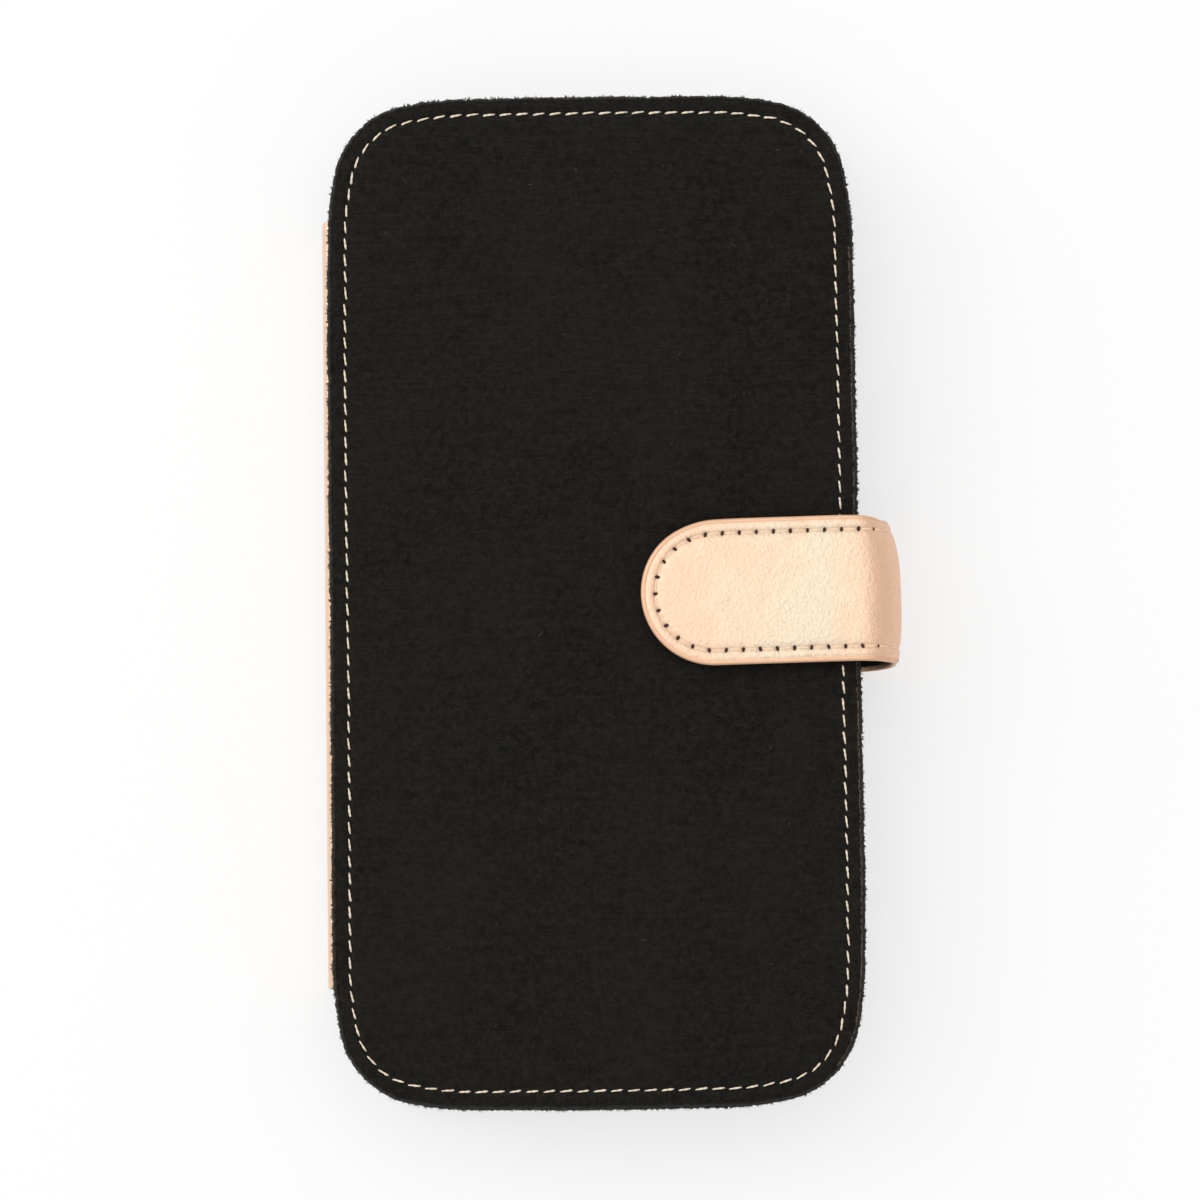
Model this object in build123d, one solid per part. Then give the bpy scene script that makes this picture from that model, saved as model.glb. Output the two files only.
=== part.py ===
"""A folding crochet hook case: two stiff velour-covered panels joined by a soft leather spine,
and held shut by a leather strap that wraps round the open side and snaps onto the front.

The case lies closed on its back panel. +Z is up through the thickness, +Y is along the long side,
and -X is the spine. The origin is on the underside of the back panel, at its centre.
All sizes are in millimetres. The front panel is the back panel's stack of layers turned over.
"""
import os
from math import asin, cos, degrees, radians, sin

from build123d import *

# Panels, which are the front and back covers
case_width = 99.5
case_length = 191.0
corner_mid_radius = 16.5
corner_end_radius = 60.0
corner_end_angle = 12.5
end_bow_radius = 2200.0
velour_thickness = 0.6
padding_thickness = 0.6
board_thickness = 1.8
lining_thickness = 0.5
turn_in_width = 9.0
lining_inset = 1.5
outer_edge_bevel = 0.9
inner_edge_bevel = 0.3
layer_gap = 0.1

# Elastic bands that hold the hooks
loop_pitch = 12.0
loop_inner_radius = 3.7
loop_leg_height = 2.6
elastic_thickness = 0.9
band_width = 22.0
band_end_margin = 2.0
upper_band_from_end = 55.0
lower_band_from_end = 50.0
hook_clearance = 2.8

# Accessory pocket inside the front panel
pocket_side_margin = 7.8
pocket_end_margin = 10.0
pocket_mouth_y = 10.0
pocket_opening = 5.4
pocket_fabric = 0.6
pocket_corner_radius = 9.0
binding_width = 6.0
binding_thickness = 0.4

# Spine, which runs just past the straight stretch of the long side
spine_overrun = 4.0
hinge_offset = 0.25
spine_leather_thickness = 0.9
spine_board_thickness = 1.2
spine_lining_thickness = 0.5
spine_end_gap = 0.1
spine_board_margin = 1.2
spine_lining_margin = 0.8
spine_flange_width = 8.0

# Closing strap
strap_width = 27.5
strap_centre_y = 1.0
strap_reach = 41.0
strap_leather_thickness = 1.2
strap_lining_thickness = 1.1
strap_bend_radius = 6.4
strap_exit_length = 0.4
strap_root_depth = 8.0
strap_tip_flat = 0.4
strap_edge_bevel = 0.4
strap_joint_gap = 0.2
stiffener_thickness = 0.4
stiffener_inset = 3.0

# Magnetic snap
snap_from_tip = 13.5
snap_closing_gap = 0.3
snap_gap = 0.1
stud_plate_radius = 6.5
stud_plate_thickness = 0.5
stud_plate_proud = 0.2
stud_root_radius = 2.3
stud_end_radius = 1.9
stud_length = 1.3
socket_flange_radius = 7.0
socket_flange_height = 0.8
socket_cup_radius = 5.5
socket_cup_depth = 2.0
socket_hole_radius = 2.8
socket_wall = 0.3
washer_radius = 6.0
washer_hole_radius = 2.3
washer_thickness = 0.3
prong_width = 3.0
prong_thickness = 0.4
prong_spacing = 8.0
prong_fold_length = 2.2
prong_fold_thickness = 0.3

# Heights of the layers in the back panel
padding_z = velour_thickness
board_z = padding_z + padding_thickness
turn_in_z = board_z + board_thickness
lining_z = turn_in_z + velour_thickness
panel_thickness = lining_z + lining_thickness

# Heights inside the closed case
loop_outer_radius = loop_inner_radius + elastic_thickness
loop_height = loop_leg_height + loop_outer_radius
pocket_depth = pocket_opening + pocket_fabric
interior_gap = loop_height + hook_clearance + binding_thickness + pocket_depth
case_depth = 2 * panel_thickness + interior_gap
front_lining_z = case_depth - panel_thickness

# Places along and across the case
half_width = case_width / 2
half_length = case_length / 2
corner_step = corner_end_radius - corner_mid_radius
bow_step = end_bow_radius - corner_end_radius
corner_spread = cos(radians(corner_end_angle)) - sin(radians(corner_end_angle))
bow_angle = degrees(asin((half_width - corner_end_radius + corner_step * corner_spread) / bow_step))
side_end_y = (
    half_length - end_bow_radius + bow_step * cos(radians(bow_angle)) + corner_step * corner_spread
)
core_bevel = min(outer_edge_bevel, padding_thickness)
spine_length = 2 * (side_end_y + spine_overrun)
band_length = case_width - 2 * lining_inset
loop_count = int((band_length - 2 * band_end_margin) / loop_pitch)
upper_band_y = half_length - upper_band_from_end
lower_band_y = lower_band_from_end - half_length
pocket_half_width = half_width - pocket_side_margin
pocket_bottom_y = pocket_end_margin - half_length

# Places of the strap and the snap
strap_thickness = strap_leather_thickness + strap_lining_thickness
strap_mid_z = turn_in_z + velour_thickness / 2
bend_outer_radius = strap_bend_radius + strap_thickness / 2
bend_layer_radius = bend_outer_radius - strap_leather_thickness
bend_inner_radius = bend_outer_radius - strap_thickness
bend_x = half_width + strap_exit_length
lower_bend_z = strap_mid_z + strap_bend_radius
tab_clearance = socket_flange_height + snap_closing_gap + stud_plate_proud
tab_z = case_depth + tab_clearance
tab_leather_z = tab_z + strap_lining_thickness
tab_top_z = tab_leather_z + strap_leather_thickness
upper_bend_z = tab_top_z - bend_outer_radius
bend_turn = 45 - degrees(strap_joint_gap / 2 / bend_outer_radius)
strap_tip_x = half_width - strap_reach
strap_tip_radius = (strap_width - strap_tip_flat) / 2
snap_x = strap_tip_x + snap_from_tip

# Places of the folds, each of which runs along Y
hinge_x = -half_width - hinge_offset
spine_x = hinge_x - spine_leather_thickness / 2
back_hinge_z = turn_in_z + velour_thickness / 2
front_hinge_z = case_depth - back_hinge_z
strap_hinge_x = bend_x + bend_outer_radius * cos(radians(45))
strap_root_hinge_z = lower_bend_z - bend_outer_radius * sin(radians(45))
strap_tab_hinge_z = upper_bend_z + bend_outer_radius * sin(radians(45))


def flat(low, high):
    """A rectangle between two corners."""
    width, height = high[0] - low[0], high[1] - low[1]
    return Pos(low[0] + width / 2, low[1] + height / 2) * Rectangle(width, height)


def layer(face, low_z, high_z):
    """A flat piece with this outline from above, between two heights."""
    return extrude(Pos(0, 0, low_z) * face, high_z - low_z)


def section(face, centre_y, width):
    """A piece with this outline in X and Z, which is as wide as this along Y."""
    return Pos(0, centre_y, 0) * extrude(Plane.XZ * face, width / 2, both=True)


def disc(radius, low_z, high_z):
    """A round plate on the snap's axis."""
    return layer(Pos(snap_x, strap_centre_y) * Circle(radius), low_z, high_z)


def turned_over(shape):
    """A layer of the back panel at its place in the front panel."""
    return mirror(shape, about=Plane.XY.offset(case_depth / 2))


# Panels


def corner_arcs(inset):
    """The arcs from the side at +X round to the middle of the end at +Y, drawn in by inset."""
    turn = 90 - 2 * corner_end_angle
    side = (half_width - corner_end_radius, side_end_y)
    middle = (
        side[0] + corner_step * cos(radians(corner_end_angle)),
        side[1] + corner_step * sin(radians(corner_end_angle)),
    )
    end = (
        middle[0] - corner_step * sin(radians(corner_end_angle)),
        middle[1] - corner_step * cos(radians(corner_end_angle)),
    )
    bow = (0, half_length - end_bow_radius)
    end_start = 90 - corner_end_angle
    return [
        CenterArc(side, corner_end_radius - inset, 0, corner_end_angle),
        CenterArc(middle, corner_mid_radius - inset, corner_end_angle, turn),
        CenterArc(end, corner_end_radius - inset, end_start, corner_end_angle - bow_angle),
        CenterArc(bow, end_bow_radius - inset, 90 - bow_angle, bow_angle),
    ]


def panel_face(inset):
    """The panel's outline drawn in by inset: straight sides, soft corners and bowed ends."""
    side_x = half_width - inset
    half_side = [Line((side_x, 0), (side_x, side_end_y))] + corner_arcs(inset)
    upper = half_side + [mirror(edge, about=Plane.YZ) for edge in half_side]
    return make_face(upper + [mirror(edge, about=Plane.XZ) for edge in upper])


def velour_skin():
    """Velour over a panel: its outer face, the wrapped edge and the margin turned in."""
    skin = layer(panel_face(0), 0, lining_z)
    skin = chamfer(skin.edges().group_by(Axis.Z)[0], outer_edge_bevel)
    skin = chamfer(skin.edges().group_by(Axis.Z)[-1], inner_edge_bevel)
    core = layer(panel_face(velour_thickness), padding_z, turn_in_z)
    core = chamfer(core.edges().group_by(Axis.Z)[0], core_bevel)
    window = layer(panel_face(turn_in_width), turn_in_z, lining_z)
    return skin - core - window - spine_flange(layer_gap)


def padding_sheet():
    """Thin foam between the velour and the board."""
    return layer(panel_face(velour_thickness + core_bevel), padding_z, board_z)


def board_sheet():
    """Stiff greyboard that gives the panel its shape."""
    return layer(panel_face(velour_thickness + layer_gap), board_z, turn_in_z)


def lining_sheet():
    """Inner lining, with the thicker middle that fills the window in the velour's margin."""
    middle = layer(panel_face(turn_in_width + layer_gap), turn_in_z, lining_z)
    return layer(panel_face(lining_inset), lining_z, panel_thickness) + middle


def front_velour():
    """The front panel's velour, with the hole for the snap's cup."""
    return turned_over(velour_skin()) - cup_well()


def front_padding():
    """The front panel's foam, with the hole for the snap's cup."""
    return turned_over(padding_sheet()) - cup_well()


def front_board():
    """The front panel's board, let in for the snap's cup and slit for its prongs."""
    return turned_over(board_sheet()) - cup_well() - prongs(0, case_depth, layer_gap)


def front_lining():
    """The front panel's lining, hollowed for the snap's washer and the bent prongs."""
    high = case_depth - turn_in_z
    low = high - washer_thickness - prong_fold_thickness
    return turned_over(lining_sheet()) - disc(washer_radius + layer_gap, low, high)


# Inside


def arch_face(x, radius):
    """A doorway shape with a round top, which stands on the lining."""
    top = CenterArc((x, loop_leg_height), radius, 0, 180)
    foot = Polyline(top @ 1, (x - radius, 0), (x + radius, 0), top @ 0)
    return make_face([top, foot])


def hook_band(centre_y):
    """One elastic band, sewn down between its loops. Each loop holds a hook."""
    centres = [(i + 0.5 - loop_count / 2) * loop_pitch for i in range(loop_count)]
    half = loop_count * loop_pitch / 2 + band_end_margin
    wave = flat((-half, 0), (half, elastic_thickness))
    for x in centres:
        wave += arch_face(x, loop_outer_radius)
    for x in centres:
        wave -= arch_face(x, loop_inner_radius)
    return Pos(0, 0, panel_thickness) * section(wave, centre_y, band_width)


def pocket_face(inset):
    """The pocket's outline from above, drawn in by inset on its three closed sides."""
    half = pocket_half_width - inset
    outline = flat((-half, pocket_bottom_y + inset), (half, pocket_mouth_y))
    return fillet(outline.vertices().group_by(Axis.Y)[0], pocket_corner_radius - inset)


def accessory_pocket():
    """Gusseted slip pocket on the front lining, open towards +Y."""
    outer = layer(pocket_face(0), front_lining_z - pocket_depth, front_lining_z)
    inner = layer(pocket_face(pocket_fabric), front_lining_z - pocket_opening, front_lining_z)
    return outer - inner


def pocket_binding():
    """Leather strip folded over the pocket's mouth."""
    cloth_z = front_lining_z - pocket_depth
    edge_y = pocket_mouth_y - binding_width
    half = pocket_half_width - pocket_fabric
    strip = layer(
        flat((-half, edge_y), (half, pocket_mouth_y + binding_thickness)),
        cloth_z - binding_thickness,
        cloth_z + pocket_fabric + binding_thickness,
    )
    return strip - layer(flat((-half, edge_y), (half, pocket_mouth_y)), cloth_z, cloth_z + pocket_fabric)


# Spine


def spine_flange(gap=0):
    """The margin of the spine's leather that is glued onto the back board, grown by gap."""
    half = spine_length / 2 + gap
    start_x = -half_width - (turn_in_width if gap else 0)
    return layer(flat((start_x, -half), (spine_flange_width + gap - half_width, half)), turn_in_z, lining_z)


def spine_wall(low_x, thickness, margin):
    """An upright layer of the spine, short of the panels and of the spine's ends by a margin."""
    low_z = lining_z + spine_end_gap + margin
    half = spine_length / 2 - margin
    return layer(flat((low_x, -half), (low_x + thickness, half)), low_z, case_depth - low_z)


def spine_leather():
    """The spine's outer leather."""
    return spine_wall(spine_x, spine_leather_thickness, 0)


def spine_board():
    """The stiff strip behind the spine's leather."""
    return spine_wall(spine_x + spine_leather_thickness, spine_board_thickness, spine_board_margin)


def spine_lining():
    """The lining over the spine's board."""
    low_x = spine_x + spine_leather_thickness + spine_board_thickness
    return spine_wall(low_x, spine_lining_thickness, spine_lining_margin)


# Strap


def bend_face(centre_z, inner, outer, start):
    """Half of a strap bend between two radii, up to the joint's gap, seen from -Y."""
    arcs = [CenterArc((bend_x, centre_z), radius, start, bend_turn) for radius in (inner, outer)]
    ends = [Line(arcs[0] @ end, arcs[1] @ end) for end in (0, 1)]
    return make_face(arcs + ends)


def eased(leather, lines):
    """Strap leather with its outer long edges bevelled: these lines and the rims of its bends."""
    rims = [
        edge
        for edge in leather.edges().filter_by(GeomType.CIRCLE)
        if abs(edge.radius - bend_outer_radius) < layer_gap
    ]
    return chamfer(list(lines) + rims, strap_edge_bevel)


def strap_root_leather():
    """The outer leather from the back panel, where it is pared thin, to the lower bend."""
    exit_x = half_width + layer_gap
    low_z = lower_bend_z - bend_outer_radius
    leather_top_z = lower_bend_z - bend_layer_radius
    shape = flat((exit_x, low_z), (bend_x, leather_top_z))
    shape += bend_face(lower_bend_z, bend_layer_radius, bend_outer_radius, -90)
    leather = section(shape, strap_centre_y, strap_width)
    leather = eased(leather, leather.edges().group_by(Axis.Z)[0].filter_by(Axis.X))
    pared = flat((half_width - strap_root_depth, turn_in_z), (exit_x, lining_z))
    return leather + section(pared, strap_centre_y, strap_width)


def strap_root_seat():
    """The room that the back velour's margin leaves for the root of the strap."""
    seat = flat((half_width - strap_root_depth - layer_gap, turn_in_z), (bend_x, lining_z))
    return section(seat, strap_centre_y, strap_width + 2 * layer_gap)


def strap_root_lining():
    """The strap's lining from the back panel to the lower bend."""
    low_z = lower_bend_z - bend_layer_radius
    shape = flat((half_width + layer_gap, low_z), (bend_x, low_z + strap_lining_thickness))
    shape += bend_face(lower_bend_z, bend_inner_radius, bend_layer_radius, -90)
    return section(shape, strap_centre_y, strap_width)


def strap_side(inner, outer):
    """A layer of the strap's upright stretch, with half of each bend."""
    shape = flat((bend_x + inner, lower_bend_z), (bend_x + outer, upper_bend_z))
    shape += bend_face(lower_bend_z, inner, outer, -bend_turn)
    shape += bend_face(upper_bend_z, inner, outer, 0)
    return section(shape, strap_centre_y, strap_width)


def strap_side_leather():
    """The outer leather of the strap's upright stretch."""
    leather = strap_side(bend_layer_radius, bend_outer_radius)
    return eased(leather, leather.edges().group_by(Axis.X)[-1].filter_by(Axis.Z))


def strap_side_lining():
    """The lining of the strap's upright stretch."""
    return strap_side(bend_inner_radius, bend_layer_radius)


def tab_face(inset):
    """The tab's outline from above, with its round tip, drawn in by inset."""
    half = strap_width / 2 - inset
    outline = flat(
        (strap_tip_x + inset, strap_centre_y - half),
        (bend_x + bend_outer_radius, strap_centre_y + half),
    )
    return fillet(outline.vertices().group_by(Axis.X)[0], strap_tip_radius - inset)


def tab_layer(low_z, high_z, inner, outer):
    """A layer of the strap's tab, with half of the upper bend."""
    shape = flat((strap_tip_x, low_z), (bend_x, high_z))
    shape += bend_face(upper_bend_z, inner, outer, 90 - bend_turn)
    return section(shape, strap_centre_y, strap_width) & layer(tab_face(0), upper_bend_z, tab_top_z)


def strap_tab_leather():
    """The tab's outer leather, hollowed below for the stud's washer."""
    leather = tab_layer(tab_leather_z, tab_top_z, bend_layer_radius, bend_outer_radius)
    leather = eased(leather, leather.edges().group_by(Axis.Z)[-1].sort_by(Axis.X)[:-1])
    hollow_z = tab_leather_z + washer_thickness + prong_fold_thickness + snap_gap
    return leather - disc(washer_radius + layer_gap, tab_leather_z, hollow_z)


def tab_stiffener(gap=0):
    """The stiff plate let into the top of the tab's lining, grown by gap."""
    end_x = half_width - stiffener_inset + gap
    low_z = tab_leather_z - stiffener_thickness - gap
    plate = layer(tab_face(stiffener_inset - gap), low_z, tab_leather_z)
    reach = flat((strap_tip_x, strap_centre_y - strap_width), (end_x, strap_centre_y + strap_width))
    return plate & layer(reach, low_z, tab_leather_z)


def strap_tab_lining():
    """The tab's lining, let in for the stiffener above and for the stud's plate below."""
    seat_z = tab_z + stud_plate_thickness - stud_plate_proud
    lining = tab_layer(tab_z, tab_leather_z, bend_inner_radius, bend_layer_radius)
    lining -= tab_stiffener(layer_gap)
    lining -= disc(stud_plate_radius + layer_gap, tab_z, seat_z)
    return lining - prongs(tab_z, tab_top_z, layer_gap)


# Magnetic snap


def leg_faces(offset, size_x, size_y):
    """Two equal rectangles, one on each side of the snap's axis."""
    left, right = [
        Pos(snap_x + side * offset, strap_centre_y) * Rectangle(size_x, size_y) for side in (-1, 1)
    ]
    return left + right


def prongs(low_z, high_z, gap=0):
    """The two flat legs of a snap half, grown by gap."""
    faces = leg_faces(prong_spacing / 2, prong_thickness + 2 * gap, prong_width + 2 * gap)
    return layer(faces, low_z, high_z)


def prong_ends(low_z):
    """The ends of the legs, bent flat over the washer towards its centre."""
    offset = (prong_spacing + prong_thickness - prong_fold_length) / 2
    faces = leg_faces(offset, prong_fold_length, prong_width)
    return layer(faces, low_z, low_z + prong_fold_thickness)


def washer(low_z):
    """A washer that the legs of a snap half are bent over."""
    ring = disc(washer_radius, low_z, low_z + washer_thickness)
    ring -= disc(washer_hole_radius, low_z, low_z + washer_thickness)
    return ring - prongs(low_z, low_z + washer_thickness, layer_gap)


def snap_stud():
    """The snap's upper half: a plate, a tapered stud, and legs through the tab's lining."""
    low_z = tab_z - stud_plate_proud
    high_z = low_z + stud_plate_thickness
    plate = disc(stud_plate_radius, low_z, high_z)
    plate = chamfer(plate.edges().group_by(Axis.Z)[0], stud_plate_proud)
    outline = Polyline(
        (0, high_z),
        (stud_root_radius, high_z),
        (stud_root_radius, low_z),
        (stud_end_radius, low_z - stud_length),
        (0, low_z - stud_length),
        close=True,
    )
    stud = Pos(snap_x, strap_centre_y, 0) * revolve(Plane.XZ * make_face(outline), Axis.Z)
    washer_top_z = tab_leather_z + washer_thickness
    return plate + stud + prongs(high_z, washer_top_z) + prong_ends(washer_top_z)


def cup_well():
    """The hole that the snap's cup needs through the front panel's layers."""
    return disc(socket_cup_radius + layer_gap, case_depth - socket_cup_depth, case_depth)


def snap_socket():
    """The snap's lower half: a flanged cup for the magnet, with legs through the front board."""
    top_z = case_depth + socket_flange_height
    floor_z = case_depth - socket_cup_depth
    flange = disc(socket_flange_radius, case_depth, top_z)
    flange = chamfer(flange.edges().group_by(Axis.Z)[-1], socket_flange_height / 2)
    cup = flange + disc(socket_cup_radius, floor_z, case_depth)
    cup -= disc(socket_cup_radius - socket_wall, floor_z + socket_wall, top_z - socket_wall)
    cup -= disc(socket_hole_radius, floor_z + socket_wall, top_z)
    washer_z = case_depth - turn_in_z - washer_thickness
    return cup + prongs(washer_z, floor_z) + prong_ends(washer_z - prong_fold_thickness)


def snap_magnet():
    """The ring magnet inside the socket's cup."""
    low_z = case_depth - socket_cup_depth + socket_wall
    high_z = case_depth + socket_flange_height - socket_wall - snap_gap
    ring = disc(socket_cup_radius - socket_wall - snap_gap, low_z, high_z)
    return ring - disc(socket_hole_radius + snap_gap, low_z, high_z)


parts = {
    "back_velour": velour_skin() - strap_root_seat(),
    "back_padding": padding_sheet(),
    "back_board": board_sheet(),
    "back_lining": lining_sheet(),
    "back_spine_flange": spine_flange(),
    "upper_hook_band": hook_band(upper_band_y),
    "lower_hook_band": hook_band(lower_band_y),
    "strap_root_leather": strap_root_leather(),
    "strap_root_lining": strap_root_lining(),
    "spine_leather": spine_leather(),
    "spine_board": spine_board(),
    "spine_lining": spine_lining(),
    "front_velour": front_velour(),
    "front_padding": front_padding(),
    "front_board": front_board(),
    "front_lining": front_lining(),
    "front_spine_flange": turned_over(spine_flange()),
    "accessory_pocket": accessory_pocket(),
    "pocket_binding": pocket_binding(),
    "snap_socket": snap_socket(),
    "snap_magnet": snap_magnet(),
    "snap_socket_washer": washer(case_depth - turn_in_z - washer_thickness),
    "strap_side_leather": strap_side_leather(),
    "strap_side_lining": strap_side_lining(),
    "strap_tab_leather": strap_tab_leather(),
    "strap_tab_lining": strap_tab_lining(),
    "strap_tab_stiffener": tab_stiffener() - prongs(tab_z, tab_top_z, layer_gap),
    "snap_stud": snap_stud(),
    "snap_stud_washer": washer(tab_leather_z),
}

folds = {
    "spine_fold": (hinge_x, back_hinge_z),
    "cover_fold": (hinge_x, front_hinge_z),
    "strap_root_fold": (strap_hinge_x, strap_root_hinge_z),
    "strap_tab_fold": (strap_hinge_x, strap_tab_hinge_z),
}

os.makedirs("parts", exist_ok=True)
for name, shape in parts.items():
    export_step(shape, f"parts/{name}.step")
for name, (x, z) in folds.items():
    print(f"{name} runs along Y at x = {x:.3f}, z = {z:.3f}")
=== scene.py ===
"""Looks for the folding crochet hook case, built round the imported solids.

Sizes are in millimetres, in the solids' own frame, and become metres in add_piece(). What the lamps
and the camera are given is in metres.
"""
import random
from math import asin, cos, exp, pi, radians, sin

import bmesh
import bpy
import numpy as np
from mathutils import Matrix, Vector


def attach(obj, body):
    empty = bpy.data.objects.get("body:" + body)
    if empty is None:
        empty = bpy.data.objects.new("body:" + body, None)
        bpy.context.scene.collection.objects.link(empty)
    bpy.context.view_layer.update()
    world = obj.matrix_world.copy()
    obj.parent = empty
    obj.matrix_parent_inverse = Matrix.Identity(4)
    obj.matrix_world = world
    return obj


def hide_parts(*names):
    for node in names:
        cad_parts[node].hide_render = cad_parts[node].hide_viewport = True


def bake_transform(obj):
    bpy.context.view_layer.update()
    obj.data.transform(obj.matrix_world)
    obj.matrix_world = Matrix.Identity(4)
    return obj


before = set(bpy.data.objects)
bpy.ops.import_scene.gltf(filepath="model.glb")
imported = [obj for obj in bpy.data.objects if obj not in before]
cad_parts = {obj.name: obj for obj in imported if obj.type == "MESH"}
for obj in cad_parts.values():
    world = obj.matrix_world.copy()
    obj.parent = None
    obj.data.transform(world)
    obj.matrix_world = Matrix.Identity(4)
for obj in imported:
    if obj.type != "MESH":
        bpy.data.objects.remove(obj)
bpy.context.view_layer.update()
random.seed(7)
noise_source = np.random.default_rng(11)

# Panels
HALF_WIDTH, HALF_LENGTH, DEPTH = 49.75, 95.5, 24.6
SIDE_RADIUS, CORNER_RADIUS, BOW_RADIUS, CORNER_TURN = 60.0, 16.5, 2200.0, radians(12.5)
COVER_STITCH_INSET, COVER_STITCH_PITCH = 3.3, 3.15
STEPS_PER_STITCH = 8
CLOSING_SHARES = (0.1, 0.22, 0.38, 0.56, 0.75, 0.9, 1.0)
LINING_DEPTH = 4.1

# Strap
STRAP_HALF, STRAP_Y = 13.75, 0.8
TIP_X, BEND_X = 8.75, 50.15
TAB_TOP, SIDE_X = 28.2, 57.7
BEND_RADIUS, UPPER_Z, LOWER_Z = 7.55, 20.65, 9.7
STRAP_TURN, STRAP_TURN_X = 0.0209, 32.6
TAB_LENGTH = BEND_X - TIP_X
ARC_LENGTH = BEND_RADIUS * pi / 2
SIDE_LENGTH = UPPER_Z - LOWER_Z
SPLIT_S = TAB_LENGTH + ARC_LENGTH + SIDE_LENGTH / 2
TUCK = 0.3
STRAP_STITCH_INSET, STRAP_STITCH_PITCH = 2.75, 3.2
SAMPLES_PER_HOLE = 8
HOLE_HALF_LENGTH, HOLE_HALF_WIDTH = 0.31, 0.48

# Snap
SNAP_X, SNAP_Y = 22.25, 1.0


# Materials


def material(name):
    """An empty node material, its tree and its shader."""
    made = bpy.data.materials.new(name)
    made.use_nodes = True
    tree = made.node_tree
    return made, tree, tree.nodes["Principled BSDF"]


def coordinates(tree, uv=False):
    """Coordinates in millimetres: of the object, or of the flat sheet for pieces that bend."""
    source = tree.nodes.new("ShaderNodeTexCoord")
    scaled = tree.nodes.new("ShaderNodeMapping")
    scaled.inputs["Scale"].default_value = (100, 100, 100) if uv else (1000, 1000, 1000)
    tree.links.new(source.outputs["UV" if uv else "Object"], scaled.inputs["Vector"])
    return scaled.outputs["Vector"]


def stretched(tree, vector, scale):
    """The same coordinates with each axis scaled."""
    node = tree.nodes.new("ShaderNodeMapping")
    node.inputs["Scale"].default_value = scale
    tree.links.new(vector, node.inputs["Vector"])
    return node.outputs["Vector"]


def noise(tree, vector, scale, detail=4.0, roughness=0.55, distortion=0.0):
    """Noise with this many features per millimetre."""
    node = tree.nodes.new("ShaderNodeTexNoise")
    node.inputs["Scale"].default_value = scale
    node.inputs["Detail"].default_value = detail
    node.inputs["Roughness"].default_value = roughness
    node.inputs["Distortion"].default_value = distortion
    tree.links.new(vector, node.inputs["Vector"])
    return node.outputs["Fac"]


def cells(tree, vector, scale):
    """Cells for leather grain."""
    node = tree.nodes.new("ShaderNodeTexVoronoi")
    node.feature = "SMOOTH_F1"
    node.inputs["Scale"].default_value = scale
    tree.links.new(vector, node.inputs["Vector"])
    return node.outputs["Distance"]


def wave(tree, vector, scale, direction, distortion=0.0):
    """Parallel ribs, for woven cloth."""
    node = tree.nodes.new("ShaderNodeTexWave")
    node.bands_direction = direction
    node.inputs["Scale"].default_value = scale
    node.inputs["Distortion"].default_value = distortion
    tree.links.new(vector, node.inputs["Vector"])
    return node.outputs["Fac"]


def ramp(tree, factor, stops):
    """A colour from a factor, through stops of (place, colour)."""
    node = tree.nodes.new("ShaderNodeValToRGB")
    while len(node.color_ramp.elements) < len(stops):
        node.color_ramp.elements.new(0.5)
    for element, (place, colour) in zip(node.color_ramp.elements, stops):
        element.position = place
        element.color = (*colour, 1) if len(colour) == 3 else colour
    tree.links.new(factor, node.inputs["Fac"])
    return node.outputs["Color"]


def feed(tree, socket, value):
    """Sets a socket to a number or a colour, or links it to another socket."""
    if isinstance(value, (int, float)):
        socket.default_value = value
    elif isinstance(value, tuple):
        socket.default_value = (*value, 1)
    else:
        tree.links.new(value, socket)


def math_node(tree, operation, *values):
    """One sum, product or the like, of sockets or numbers."""
    node = tree.nodes.new("ShaderNodeMath")
    node.operation = operation
    for socket, value in zip(node.inputs, values):
        feed(tree, socket, value)
    return node.outputs["Value"]


def mixed(tree, factor, first, second):
    """Two colours mixed by a factor."""
    node = tree.nodes.new("ShaderNodeMixRGB")
    for socket, value in zip(node.inputs, (factor, first, second)):
        feed(tree, socket, value)
    return node.outputs["Color"]


def bumped(tree, shader, layers):
    """Bumps of (height socket, depth in millimetres) added up on the shader's normal."""
    normal = None
    for height, depth in layers:
        node = tree.nodes.new("ShaderNodeBump")
        node.inputs["Strength"].default_value = 1.0
        node.inputs["Distance"].default_value = depth * 0.001
        tree.links.new(height, node.inputs["Height"])
        if normal is not None:
            tree.links.new(normal, node.inputs["Normal"])
        normal = node.outputs["Normal"]
    tree.links.new(normal, shader.inputs["Normal"])


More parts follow.
